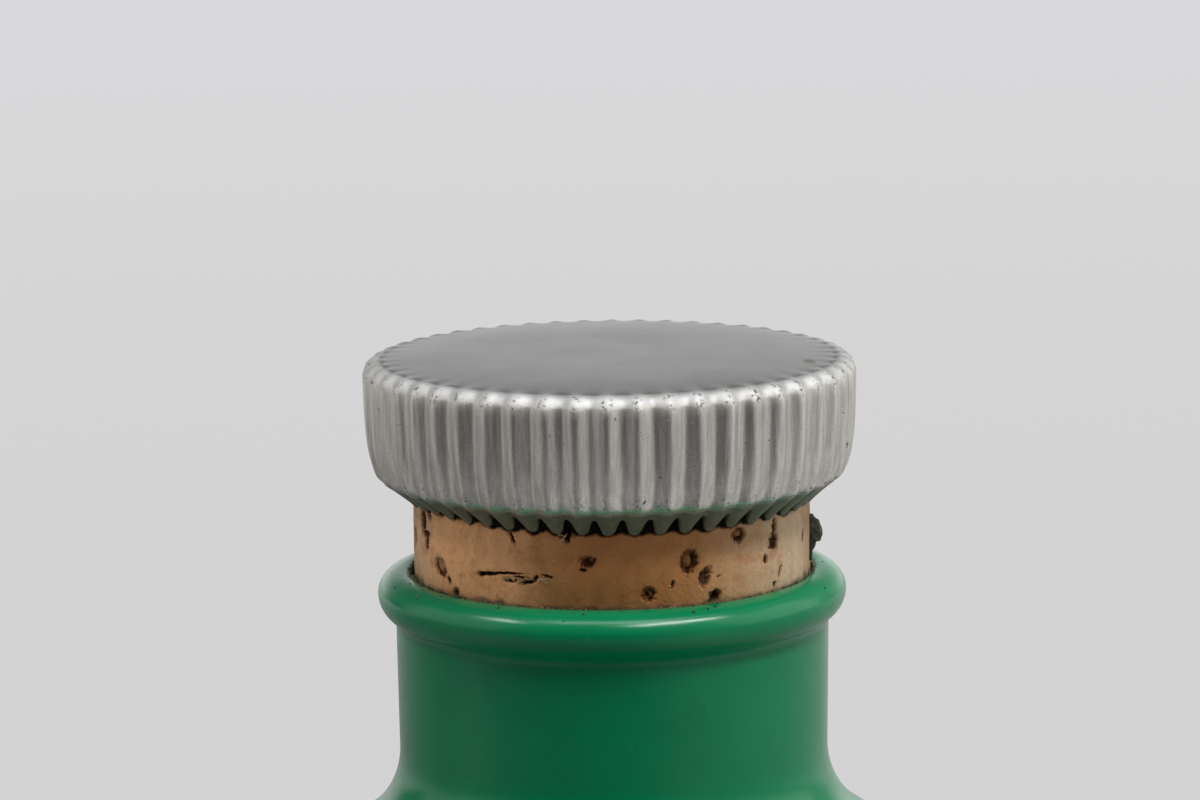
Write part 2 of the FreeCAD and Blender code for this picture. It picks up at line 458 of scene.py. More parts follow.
def makeCap():
    # each point is mixed from its row's ridge and groove by (1 - cos) / 2 round one flute;
    # under the rim the mix sharpens into tongues whose half width shrinks towards the cork
    ridges, grooves, gone, level = capRows()
    columns = cap["flutes"] * cap["stepsPerFlute"]
    turns = np.arange(columns)[None, :] / cap["stepsPerFlute"]
    offset = np.abs((turns + 0.5) % 1.0 - 0.5)
    angle = np.radians(cap["crestDegrees"]) + 2.0 * math.pi * turns / cap["flutes"]
    gone = gone[:, None]
    level = level[:, None]
    wave = (1.0 - np.cos(2.0 * math.pi * offset)) / 2.0
    lean = 0.018 * ripple(angle, gone, 5, 6, 40, 0.0)
    half = np.interp(gone, np.linspace(0.0, 1.0, 5), cap["tongueHalfWidth"]) + lean
    petal = easeStep(half + cap["tongueEdge"][0], half + cap["tongueEdge"][1], offset)
    # where a gap's painted shade begins
    deep = easeStep(half + cap["pocketEdge"][0], half + cap["pocketEdge"][1], offset)
    share = wave + (petal - wave) * easeStep(0.15, 0.5, gone)
    radius = ridges[:, 0][:, None] * (1.0 - share) + grooves[:, 0][:, None] * share
    drop = ridges[:, 1][:, None] * (1.0 - share) + grooves[:, 1][:, None] * share
    crown = cap["tongueCrown"] * np.clip(offset / half, 0.0, 1.0) ** 2
    drop = drop - crown * easeStep(0.0, 0.5, gone) * (1.0 - petal)
    aside = np.clip(np.cos(angle + math.radians(45.0)), 0.0, 1.0) ** 4
    drop = drop - (cap["tipLift"] * aside + 0.07 * ripple(angle, 0.0, 9, 8, 60, 0.0)) * gone
    onSide = easeStep(0.02, 0.25, level) * (1.0 - easeStep(0.0, 0.1, gone))
    radius = radius - 0.025 * (1.0 + ripple(angle, drop, 21, 14, 160, 0.4)) * onSide
    drop = drop + 0.035 * ripple(angle, 0.0, 8, 12, 140, 0.0) * easeStep(0.9, 1.0, level) * (1.0 - gone)
    height = capTop - cap["edgeDrop"] - drop
    points = around(radius, angle, height)
    boreRadius = corkRadius + cap["boreGap"]
    boreTop = corkHead + cap["boreGap"]
    last = height[-1]
    walls = []
    for share in (0.5, 1.0):
        walls.append(around(boreRadius, angle[0], last * (1.0 - share) + boreTop * share))
    points = np.concatenate([points, np.stack(walls)])
    pad = np.zeros((2, columns))
    values = {
        "ridge": np.concatenate([np.broadcast_to(1.0 - wave, radius.shape), pad]),
        "side": np.concatenate([np.broadcast_to(level, radius.shape), pad + 1.0]),
        "under": np.concatenate([np.broadcast_to(gone, radius.shape), pad + 1.0]),
        # where the gaps are painted dark as shade
        "pocket": np.concatenate([deep * easeStep(0.2, 0.55, gone), pad + 1.0]),
    }
    piece = ringMesh("capShell", points[::-1], {key: value[::-1] for key, value in values.items()},
                     (0.0, 0.0, boreTop), (0.0, 0.0, capTop))
    return piece


def aluminiumFinish():
    # satin metal: fine grain and a few scratches on top, vertical streaks on the side, nicks on the ridges'
    # upper corners, pits with grime; painted shade along the rim's lower edge, under the rim and darkest in
    # the gaps
    finish, bench = newFinish("satinAluminium")
    place = bench.stretched((1.0, 1.0, 1.0))
    streaked = bench.stretched((1.0, 1.0, 0.06))
    side = bench.attribute("side")
    under = bench.attribute("under")
    ridge = bench.attribute("ridge")
    pocket = bench.attribute("pocket")
    onSide = side.ease(0.28, 0.5)
    grain = bench.noise(place, 4200.0, 3.0, 0.7)
    streaks = bench.noise(streaked, 2400.0, 3.0, 0.6)
    broad = bench.noise(place, 140.0, 3.0)
    scratch = bench.noise(bench.stretched((1.0, 0.05, 1.0), (0.0, 0.0, 0.5)), 1500.0, 2.0, 0.5)
    topTone = bench.blend(broad.ease(0.3, 0.75), cap["topColour"], cap["topShade"])
    sideTone = bench.blend(streaks.ease(0.38, 0.64), cap["colour"], cap["darkColour"])
    sideTone = bench.blend(grain.ease(0.42, 0.62) * 0.5, sideTone, cap["darkColour"])
    tone = bench.blend(onSide, topTone, sideTone)
    pits = bench.noise(place, 1150.0, 2.0).ease(0.715, 0.76) * onSide
    foot = side.ease(0.72, 1.0) * ridge.ease(0.35, 0.9)
    footPits = bench.noise(place, 2600.0, 1.0).ease(0.60, 0.66) * foot
    nickBand = side.ease(0.12, 0.22) * (1.0 - side.ease(0.42, 0.52)) * ridge.ease(0.55, 0.95)
    nicks = bench.noise(place, 2300.0, 3.0, 0.7).ease(0.55, 0.61) * nickBand
    grime = (pits * 0.8).maths("MAXIMUM", footPits * 0.85).maths("MAXIMUM", nicks * 0.75)
    tone = bench.blend(grime, tone, cap["grimeColour"])
    x, y, z = bench.parts(place)
    stainX, stainY = cap["stain"]
    away = ((x - stainX) ** 2.0 + ((y - stainY) * 0.55) ** 2.0) ** 0.5
    smudge = (broad * 0.0006 - away + grain * 0.0011).ease(0.0, 0.0005) * (1.0 - onSide)
    tone = bench.blend(smudge * 0.75, tone, cap["stainColour"])
    # painted shade: along the rim's lower edge, under the rim, and nearly black in the gaps
    hem = side.ease(0.955, 0.998) * 0.75
    tone = bench.blend(hem, tone, cap["hemShadeColour"])
    tone = bench.blend(under.ease(0.0, 0.25) * 0.92, tone, cap["underShadeColour"])
    tone = bench.blend(pocket, tone, cap["pocketShadeColour"])
    rounded = side.ease(0.03, 0.2) * (1.0 - side.ease(0.39, 0.55))
    rough = cap["roughness"] - onSide * 0.04 + rounded * 0.315 + grain * 0.06
    rough = rough + grime * 0.35 + under.ease(0.0, 0.4) * 0.18 + pocket * 0.3
    metal = 1.0 - grime * 0.8 - pocket * 0.9 - hem * 0.6
    relief = grain * 0.7 + streaks * onSide + scratch.ease(0.68, 0.72) * (1.0 - onSide) * 0.15
    normal = bench.bump(relief, 0.25, 0.0002)
    normal = bench.bump(1.0 - grime, 0.25, 0.0003, normal)
    bench.finish({"Base Color": tone, "Roughness": rough, "Metallic": metal, "Normal": normal})
    return finish


dress(makeCap(), aluminiumFinish(), "cap_metal", "cap")
print("cap made")


cork = {
    "columns": 900,
    "showFrom": 176.6,           # the stretch that can be seen, with fine rows
    "showTo": 187.2,
    "fineRows": 96,
    "rimLine": 185.2,           # above this the cork is painted black, as the cap's shadow
    "sideRise": 0.3,            # the line is higher to the left and right
    "leftRise": 0.22,
    "bite": 0.34,                # how much lower the painted shadow reaches under a tongue
    # the cork is set in a little where its painted shadow lies
    "capShadowSink": 0.24,
    "contactLine": 177.62,       # where the cork meets the lip; it is damp and stained a little above
    "wetReach": 1.3,
    "slack": 0.32,               # between the cork's worn face and its full radius, more at the left
    "slackSway": 0.08,
    "pinkTan": (0.56, 0.30, 0.14),
    "tan": (0.48, 0.225, 0.085),
    # painted light: a paler right side
    "straw": (0.49, 0.325, 0.18),
    "brown": (0.27, 0.12, 0.045),
    "poreBrown": (0.105, 0.036, 0.012),
    "poreDark": (0.018, 0.010, 0.006),
    "poreGold": (0.24, 0.088, 0.026),
    "mould": (0.032, 0.038, 0.027),
    "torn": (0.46, 0.26, 0.12),
    # painted sheen at the far left and right edges
    "pale": (0.62, 0.48, 0.33),
    # painted light: the left front lit paler and pinker
    "rosyLight": (0.94, 0.48, 0.23),
    # painted shade: the front's middle deeper and darker, its lower half darker still
    "middle": (0.50, 0.195, 0.060),
    "low": (0.25, 0.115, 0.030),
    "rust": (0.42, 0.15, 0.045),
    # near black, painted as the cap's shadow
    "capShadow": (0.010, 0.008, 0.006),
    "damp": (0.20, 0.15, 0.07),
    # degrees from the front, height, half width, half height, lean in degrees, depth, kind
    "marks": (
        (-65.8, 185.45, 1.10, 0.36, -50.0, 0.40, "crack"),
        (-69.6, 184.3, 0.85, 1.25, 8.0, 0.45, "crack"),
        (-67.8, 183.0, 1.10, 0.48, 0.0, 0.45, "pit"),
        (-66.8, 182.1, 0.48, 0.80, -8.0, 0.25, "crack"),
        (-58.4, 180.2, 1.15, 0.85, -35.0, 0.35, "ring"),
        (-53.9, 179.1, 0.30, 0.45, 35.0, 0.30, "pit"),
        (-50.6, 178.0, 0.45, 0.50, 30.0, 0.45, "pit"),
        (-37.6, 180.55, 1.25, 0.20, 4.0, 0.60, "gouge"),
        (-40.0, 180.42, 0.42, 0.30, 0.0, 0.60, "gouge"),
        (-31.0, 180.85, 1.7, 0.12, 4.0, 0.50, "gouge"),
        (-29.0, 180.42, 1.25, 0.30, 3.0, 0.25, "torn"),
        (-29.6, 180.18, 0.75, 0.16, 4.0, 0.60, "gouge"),
        (-24.6, 180.35, 0.85, 0.32, 2.0, 0.25, "torn"),
        (-24.4, 180.12, 0.75, 0.16, 8.0, 0.60, "gouge"),
        (-26.6, 180.60, 0.65, 0.11, -4.0, 0.45, "gouge"),
        (-22.0, 180.55, 0.22, 0.40, -30.0, 0.55, "gouge"),
        (-19.2, 180.50, 0.80, 0.36, 3.0, 0.25, "torn"),
        (-18.3, 180.85, 0.60, 0.11, -12.0, 0.35, "gouge"),
        (-29.1, 184.55, 0.16, 0.65, 25.0, 0.35, "crack"),
        (-12.8, 185.2, 0.55, 0.75, 0.0, 0.60, "gouge"),
        (-6.9, 182.55, 0.75, 0.55, 0.0, 0.45, "ring"),
        (-6.9, 182.5, 0.32, 0.28, 0.0, 0.50, "pit"),
        (-8.0, 181.65, 0.42, 0.16, -8.0, 0.35, "crack"),
        (10.1, 179.1, 0.74, 0.68, 0.0, 0.50, "ring"),
        (9.9, 179.1, 0.26, 0.30, 0.0, 0.60, "pit"),
        (16.2, 179.75, 0.18, 0.35, 30.0, 0.35, "torn"),
        (17.2, 179.9, 0.16, 0.42, -20.0, 0.40, "crack"),
        (22.2, 182.1, 0.92, 1.12, -8.0, 0.55, "ring"),
        (23.6, 182.3, 0.22, 0.80, -10.0, 0.60, "pit"),
        (26.9, 180.3, 0.60, 1.02, -18.0, 0.50, "mould"),
        (30.2, 178.35, 0.62, 0.70, -5.0, 0.70, "gouge"),
        (29.0, 177.85, 0.45, 0.25, 15.0, 0.60, "gouge"),
        (31.5, 180.3, 0.16, 0.10, 0.0, 0.20, "pit"),
        (38.6, 184.15, 0.82, 0.72, 0.0, 0.50, "ring"),
        (38.6, 183.75, 0.70, 0.20, 5.0, 0.60, "pit"),
        (53.0, 182.6, 0.72, 0.95, 0.0, 0.45, "pit"),
        (53.4, 184.2, 0.30, 0.85, 0.0, 0.40, "crack"),
        (49.4, 181.05, 0.30, 0.48, 5.0, 0.35, "pit"),
        (56.5, 179.4, 0.18, 0.85, -18.0, 0.30, "crack"),
        (53.5, 178.3, 0.30, 0.30, 0.0, 0.40, "pit"),
        (72.5, 182.0, 0.48, 0.70, 0.0, 0.20, "ring"),
        (60.0, 185.2, 0.9, 0.35, 5.0, 0.30, "crack"),
        (85.0, 180.6, 0.40, 2.9, 0.0, 0.20, "pit"),
    ),
    "wildSeed": 7,
    "wildMarks": 46,             # more of the same, round the sides and back
}


def corkMarks():
    # the listed marks at the front, and random ones of the same kinds from 80 to 280 degrees
    dice = np.random.default_rng(cork["wildSeed"])
    marks = list(cork["marks"])
    kinds = ("ring", "pit", "crack", "pit", "ring", "mould", "crack", "gouge")
    for index in range(cork["wildMarks"]):
        kind = kinds[index % len(kinds)]
        wide = dice.uniform(0.25, 0.95)
        tall = wide * dice.uniform(0.6, 1.5)
        if kind == "crack":
            wide, tall = dice.uniform(0.14, 0.2), dice.uniform(0.5, 1.3)
        if kind == "gouge":
            wide, tall = dice.uniform(0.6, 1.6), dice.uniform(0.14, 0.3)
        marks.append((dice.uniform(80.0, 280.0), dice.uniform(178.3, 184.9), wide, tall,
                      dice.uniform(-25.0, 25.0), dice.uniform(0.3, 0.6), kind))
    return marks


def markField(angle, height):
    # for each mark: a warped oval distance q, 1 at its edge; a pit is deepest inside, a ring near q = 0.75;
    # returns depth and the masks that the finish reads
    shape = np.broadcast(angle, height).shape
    dig = np.zeros(shape)
    masks = {key: np.zeros(shape) for key in ("pore", "gold", "mould", "torn")}
    fuzz = 0.16 * ripple(angle, height, 31, 16, 420, 9.0) + 0.10 * ripple(angle, height, 32, 16, 900, 18.0)
    for degrees, level, wide, tall, lean, depth, kind in corkMarks():
        away = (angle - math.radians(degrees) + math.pi) % (2.0 * math.pi) - math.pi
        across = away * corkRadius
        upward = height - level
        turn = math.radians(lean)
        u = (across * math.cos(turn) + upward * math.sin(turn)) / wide
        v = (-across * math.sin(turn) + upward * math.cos(turn)) / tall
        q = np.sqrt(u * u + v * v) + fuzz * easeStep(4.0, 1.0, np.sqrt(u * u + v * v))
        inside = easeStep(1.12, 0.72, q)
        if kind == "ring":
            ring = np.exp(-((q - 0.74) / 0.27) ** 2) * (0.72 + 0.28 * np.clip(u - v, -1.0, 1.0))
            dig = np.maximum(dig, depth * (0.35 * inside + 0.75 * ring))
            masks["pore"] = np.maximum(masks["pore"], np.clip(0.88 * ring, 0.0, 1.0))
            masks["gold"] = np.maximum(masks["gold"], easeStep(1.45, 0.8, q))
        elif kind == "torn":
            dig = dig - 0.22 * inside * (1.0 + fuzz * 2.0)
            masks["torn"] = np.maximum(masks["torn"], inside)
        elif kind == "mould":
            dig = np.maximum(dig, depth * inside)
            masks["mould"] = np.maximum(masks["mould"], inside)
            masks["pore"] = np.maximum(masks["pore"], easeStep(0.8, 0.3, q) * 0.5)
        else:
            dig = np.maximum(dig, depth * inside)
            strength = 1.0 if kind == "gouge" else 0.85
            masks["pore"] = np.maximum(masks["pore"], inside * strength)
            masks["gold"] = np.maximum(masks["gold"], easeStep(1.7, 1.0, q) * 0.5)
    return dig, masks


def makeCork():
    # a straight plug: fine rows where it shows, dug by its marks, bitten away and painted black above the
    # rim line as the cap's shadow
    fine = np.linspace(cork["showFrom"], cork["showTo"], cork["fineRows"])
    low = np.linspace(corkFoot, cork["showFrom"], 6)[:-1]
    high = np.linspace(cork["showTo"], corkHead, 5)[1:]
    height = np.concatenate([low, fine, high])[:, None]
    angle = np.linspace(0.0, 2.0 * math.pi, cork["columns"], endpoint=False)[None, :]
    dig, masks = markField(angle, height)
    # where the cap's painted shadow begins: a ragged line, higher at the sides and left, lower under each
    # tongue
    flute = (np.degrees(angle) - cap["crestDegrees"]) * cap["flutes"] / 360.0
    nearTongue = (0.5 + 0.5 * np.cos(2.0 * math.pi * flute)) ** 0.8
    ragged = 0.07 * ripple(angle, 0.0, 41, 10, 90, 0.0) + 0.05 * ripple(angle, 0.0, 42, 10, 300, 0.0)
    raised = cork["sideRise"] * easeStep(0.9, 0.55, np.cos(angle))
    bitten = cork["bite"] * nearTongue * (1.0 + 0.25 * ripple(angle, 0.0, 43, 5, 25, 0.0))
    raised = raised + cork["leftRise"] * np.clip(np.cos(angle + math.radians(42.0)), 0.0, 1.0) ** 4
    line = cork["rimLine"] + raised - bitten + ragged
    capShadow = easeStep(line - 0.06, line + 0.10, height)
    worn = 0.05 * ripple(angle, height, 44, 18, 60, 0.5) + 0.01 * ripple(angle, height, 45, 20, 150, 7.0)
    seen = easeStep(cork["showFrom"], cork["showFrom"] + 0.9, height)
    seen = seen * easeStep(cork["showTo"], cork["showTo"] - 0.5, height)
    foot = cork["contactLine"] + 0.10 * ripple(angle, 0.0, 46, 10, 60, 0.0)
    wet = easeStep(foot + cork["wetReach"], foot, height)
    inward = dig + cork["capShadowSink"] * capShadow + cork["slack"] - cork["slackSway"] * np.sin(angle)
    radius = corkRadius - (inward + np.clip(worn, -0.1, 0.1)) * seen
    points = around(np.minimum(radius, corkRadius), angle, height)
    values = dict(masks, capShadow=capShadow, wet=wet * (1.0 - capShadow))
    return ringMesh("corkPlug", points, values, (0.0, 0.0, corkFoot), (0.0, 0.0, corkHead))


def corkFinish():
    # vertical streaks between pink tan and brown, small darker cells, then the marks painted by their masks
    finish, bench = newFinish("naturalCork")
    place = bench.stretched((1.0, 1.0, 1.0))
    tall = bench.stretched((1.0, 1.0, 0.22))
    streak = bench.noise(tall, 420.0, 4.0, 0.6)
    broad = bench.noise(bench.stretched((1.0, 1.0, 0.4)), 75.0, 3.0)
    cells = bench.noise(place, 2100.0, 4.0, 0.7)
    tone = bench.blend(broad.ease(0.36, 0.66), cork["pinkTan"], cork["tan"])
    x, y, z = bench.parts(place)
    left = x * -1.0
    facing = (y * -1.0).ease(0.0, 0.01)
    # painted light: the left front lit paler and pinker, a little less at its far edge
    rosyLight = left.ease(0.0, 0.007) * (1.0 - left.ease(0.015, 0.0195) * 0.1) * facing
    tone = bench.blend(rosyLight * 0.88, tone, cork["rosyLight"])
    # painted shade: the front's middle deeper and darker, its lower half darker still
    middle = (1.0 - (x * x).ease(0.00001, 0.00011)) * facing
    tone = bench.blend(middle * 0.66, tone, cork["middle"])
    tone = bench.blend(middle * (1.0 - (z + broad * 0.002).ease(0.1795, 0.1835)) * 0.62, tone, cork["low"])
    # painted light paler towards the right, and painted sheen at the far right and far left
    tone = bench.blend((x + broad * 0.008).ease(0.011, 0.022) * 0.85, tone, cork["straw"])
    tone = bench.blend((x + broad * 0.004).ease(0.013, 0.0225) * 0.75, tone, cork["pale"])
    tone = bench.blend(left.ease(0.0160, 0.0205) * 0.55, tone, cork["pale"])
    # painted shade just at the far right edge
    tone = bench.blend(x.ease(0.0184, 0.0203) * 0.5, tone, cork["brown"])
    tone = bench.blend(streak.ease(0.50, 0.78) * 0.15, tone, cork["brown"])
    tone = bench.blend(cells.ease(0.54, 0.72) * 0.40, tone, cork["brown"])
    patches = bench.noise(place, 520.0, 3.0, 0.6)
    tone = bench.blend(patches.ease(0.48, 0.70) * 0.42, tone, cork["rust"])
    flecks = bench.noise(place, 1500.0, 2.0).ease(0.69, 0.74)
    tone = bench.blend(flecks * 0.5, tone, cork["brown"])
    tone = bench.blend(bench.attribute("gold") * 0.7, tone, cork["poreGold"])
    tone = bench.blend(bench.attribute("torn") * 0.9, tone, cork["torn"])
    tone = bench.blend(bench.attribute("mould") * 0.92, tone, cork["mould"])
    pore = bench.attribute("pore")
    worn = pore + (cells - 0.5) * 0.5 * pore
    tone = bench.blend(worn.ease(0.15, 0.55), tone, cork["poreBrown"])
    tone = bench.blend(worn.ease(0.66, 0.98), tone, cork["poreDark"])
    wet = bench.attribute("wet")
    stain = bench.noise(place, 700.0, 4.0)
    tone = bench.blend((wet + stain * 0.8).ease(1.05, 1.55) * 0.85, tone, cork["mould"])
    tone = bench.blend(wet * 0.25, tone, cork["damp"])
    # the cap's shadow, painted black above the rim line
    tone = bench.blend(bench.attribute("capShadow"), tone, cork["capShadow"])
    rough = 0.72 + cells * 0.2
    normal = bench.bump(cells, 0.45, 0.0003)
    bench.finish({"Base Color": tone, "Roughness": rough, "Normal": normal, "Specular IOR Level": 0.15,
                  "Sheen Weight": 0.08, "Sheen Roughness": 0.4})
    return finish


dress(makeCork(), corkFinish(), "cork", "cork")
print("cork made")


flake = {
    "degrees": 87.0,
    "thickness": 0.75,
    "sink": 0.12,                # how far it is set into the cork's face
    "root": -0.3,                # its hidden inner edge
    # reach out of the cork and height, up the outer edge
    "outline": ((0.10, 178.5), (0.16, 179.4), (0.45, 179.9), (0.55, 180.35), (1.0, 180.5), (1.12, 180.9),
                (1.22, 181.35), (1.05, 181.9), (0.92, 182.2), (0.80, 182.6), (0.45, 182.85), (0.22, 183.2)),
    "colour": (0.06, 0.062, 0.045),
    "paler": (0.15, 0.145, 0.105),
}


def makeFlake():
    # layers across its thickness: each layer's outline shrinks towards the faces and is a little ragged
    outer = smoothRun(flake["outline"], 60)
    layers = np.linspace(-0.5, 0.5, 9)
    rows = []
    for index, layer in enumerate(layers):
        shrink = math.sqrt(max(0.0, 1.0 - (2.0 * layer) ** 2)) * 0.45 + 0.55
        wobble = ripple(outer[:, 1] * 0.9 + index, 0.0, 60 + index, 8, 9, 0.0)
        reach = np.clip(outer[:, 0] * shrink + 0.05 * wobble, 0.05, 1.2)
        back = np.full(len(outer), flake["root"])
        loop = np.concatenate([np.stack([reach, outer[:, 1]], axis=1),
                               np.stack([back, outer[:, 1]], axis=1)[::-1]])
        lift = layer * flake["thickness"] + 0.04 * np.concatenate([wobble, wobble[::-1]])
        angle = math.radians(flake["degrees"])
        radial = corkRadius - flake["sink"] + loop[:, 0]
        x = radial * math.sin(angle) + lift * math.cos(angle)
        y = -radial * math.cos(angle) + lift * math.sin(angle)
        rows.append(np.stack([x, y, loop[:, 1]], axis=1))
    points = np.stack(rows)
    return ringMesh("corkFlake", points, None, points[0].mean(axis=0), points[-1].mean(axis=0))


def flakeFinish():
    # mottled, nearly black cork
    finish, bench = newFinish("darkCork")
    place = bench.stretched((1.0, 1.0, 1.0))
    mottle = bench.noise(place, 1300.0, 5.0, 0.65)
    tone = bench.blend(mottle.ease(0.45, 0.75), flake["colour"], flake["paler"])
    normal = bench.bump(mottle, 0.6, 0.0004)
    bench.finish({"Base Color": tone, "Roughness": 0.75 + mottle * 0.2, "Normal": normal})
    return finish


fibres = {
    "seed": 3,
    # degrees, height, spread across, spread up, how many, length, tilt in degrees
    "tufts": ((-13.6, 184.9, 0.45, 0.45, 8, 0.8, 55.0), (-19.5, 180.45, 0.6, 0.22, 7, 0.8, 15.0),
              (-27.5, 180.4, 1.1, 0.2, 9, 0.9, 5.0), (16.2, 179.8, 0.12, 0.2, 2, 0.4, 40.0),
              (150.0, 180.2, 0.8, 0.3, 7, 0.8, 10.0)),
    "halfWidth": 0.065,
    "tipWidth": 0.008,
    "flatness": 0.4,
    "sink": 0.3,                 # how far their middles lie inside the cork's full radius
    "colour": (0.45, 0.24, 0.10),
    "paler": (0.62, 0.42, 0.24),
}


def makeFibres():
    # each fibre is a flattened spindle: rings of six points along a bent line, its width sin(pi t)
    dice = np.random.default_rng(fibres["seed"])
    tufts = np.array([tuft[:4] + tuft[5:] for tuft in fibres["tufts"]])
    tufts = np.repeat(tufts, [tuft[4] for tuft in fibres["tufts"]], axis=0)
    degrees, level, spreadAcross, spreadUp, length, tilt = tufts.T
    count = len(tufts)
    angle = np.radians(degrees) + dice.uniform(-1, 1, count) * spreadAcross / corkRadius
    height = level + dice.uniform(-1, 1, count) * spreadUp
    size = length * dice.uniform(0.5, 1.1, count)
    lean = np.radians(tilt + dice.uniform(-35, 35, count)) * dice.choice([-1, 1], count)
    still = np.zeros(count)
    up = np.array([0.0, 0.0, 1.0])
    out = np.stack([np.sin(angle), -np.cos(angle), still], axis=1)
    side = np.stack([np.cos(angle), np.sin(angle), still], axis=1)
    run = side * np.cos(lean)[:, None] + up * np.sin(lean)[:, None]
    run = run + out * dice.uniform(0.0, 0.15, (count, 1))
    run /= np.linalg.norm(run, axis=1, keepdims=True)
    broad = np.cross(run, out)[:, None, None, :]
    middle = (out * (corkRadius - fibres["sink"]) + up * height[:, None])[:, None, None, :]
    t = np.linspace(0.02, 0.98, 6)[None, :, None, None]
    turn = np.linspace(0.0, 2.0 * math.pi, 6, endpoint=False)[None, None, :, None]
    bow = dice.uniform(0.05, 0.14, (count, 1, 1, 1))
    run = (run * size[:, None])[:, None, None, :]
    out = out[:, None, None, :]
    wide = fibres["halfWidth"] * np.sin(math.pi * t) + fibres["tipWidth"]
    corners = middle + run * (t - 0.5) + out * bow * np.sin(math.pi * t)
    corners = corners + broad * wide * np.cos(turn) + out * wide * fibres["flatness"] * np.sin(turn)
    k = np.arange(6)
    ring = np.stack([k, (k + 1) % 6, (k + 1) % 6 + 6, k + 6], axis=1)
    sides = (ring[None] + 6 * np.arange(5)[:, None, None]).reshape(-1, 4)
    ends = np.array([[5, 4, 3, 2], [5, 2, 1, 0], [30, 31, 32, 33], [30, 33, 34, 35]])
    faces = np.concatenate([sides, ends])[None] + 36 * np.arange(count)[:, None, None]
    return listMesh("corkFibres", corners.reshape(-1, 3), faces.reshape(-1, 4), True)


def fibreFinish():
    # pale torn wood, from tan to straw along a fine noise
    finish, bench = newFinish("tornFibre")
    place = bench.stretched((1.0, 1.0, 1.0))
    tone = bench.blend(bench.noise(place, 900.0, 3.0).ease(0.35, 0.65), fibres["colour"], fibres["paler"])
    normal = bench.bump(bench.noise(place, 5000.0, 2.0), 0.3, 0.0001)
    bench.finish({"Base Color": tone, "Roughness": bench.noise(place, 900.0) * 0.2 + 0.7, "Normal": normal})
    return finish


crumbs = {
    "seed": 19,
    "atContact": 420,
    "onLip": 26,
    # single larger ones: degrees from the front, distance from the axis
    "placed": ((27.4, 22.0), (20.7, 22.6), (24.9, 22.3), (-30.4, 22.0), (-58.0, 22.9), (9.0, 21.4)),
    "size": (0.05, 0.16),
    "colour": (0.30, 0.19, 0.10),
    "dark": (0.05, 0.04, 0.025),
}


def lipHeight(radius):
    # the top of the lip at a radius: level + rise * sqrt(1 - ((r - centre) / reach)^2)
    s = bottle
    share = np.clip((radius - s["lipCentre"]) / s["lipReach"], -1.0, 1.0)
    return s["lipLevel"] + s["lipRise"] * np.sqrt(1.0 - share * share)


def makeCrumbs():
    # rough eight-cornered grains, bedded in the crease round the cork and scattered on the lip
    dice = np.random.default_rng(crumbs["seed"])
    small, large = crumbs["size"]
    crease = crumbs["atContact"]
    strewn = crumbs["onLip"]
    angle = np.concatenate([dice.uniform(0, 2 * math.pi, crease + strewn),
                            np.radians([place[0] for place in crumbs["placed"]])])
    radius = np.concatenate([corkRadius + dice.uniform(0.0, 0.42, crease) ** 1.5,
                             dice.uniform(20.8, 23.3, strewn),
                             [place[1] for place in crumbs["placed"]]])
    size = np.concatenate([dice.uniform(small, large, crease), dice.uniform(small, large, strewn) * 0.7,
                           np.full(len(crumbs["placed"]), 0.15)])
    centre = around(radius, angle, lipHeight(radius) + size * 0.25)
    count = len(angle)
    cube = np.array([[x, y, z] for z in (-1, 1) for y in (-1, 1) for x in (-1, 1)], float) * 0.58
    grain = cube[None] * (1.0 + dice.uniform(-0.35, 0.35, (count, 8, 1))) * size[:, None, None]
    axes = dice.normal(size=(count, 3))
    axes /= np.linalg.norm(axes, axis=1, keepdims=True)
    turn = dice.uniform(0, math.pi, count)[:, None, None]
    axis = axes[:, None, :]
    turned = (grain * np.cos(turn) + np.cross(np.broadcast_to(axis, grain.shape), grain) * np.sin(turn)
              + axis * (grain @ axes[:, :, None]) * (1.0 - np.cos(turn)))
    corners = (turned + centre[:, None, :]).reshape(-1, 3)
    sides = np.array([[0, 2, 3, 1], [4, 5, 7, 6], [0, 1, 5, 4], [2, 6, 7, 3], [0, 4, 6, 2], [1, 3, 7, 5]])
    faces = (sides[None] + 8 * np.arange(count)[:, None, None]).reshape(-1, 4)
    return listMesh("corkCrumbs", corners, faces, True)


def crumbFinish():
    # each grain is dark or tan, by a noise about as coarse as the grains
    finish, bench = newFinish("corkCrumb")
    place = bench.stretched((1.0, 1.0, 1.0))
    mottle = bench.noise(place, 700.0, 2.0)
    tone = bench.blend(mottle.ease(0.42, 0.62), crumbs["dark"], crumbs["colour"])
    bench.finish({"Base Color": tone, "Roughness": mottle * 0.1 + 0.8})
    return finish


dress(makeFlake(), flakeFinish(), "dark_cork", "chip")
dress(makeFibres(), fibreFinish(), "cork")
dress(makeCrumbs(), crumbFinish(), "cork")
print("flake, fibres and crumbs made")


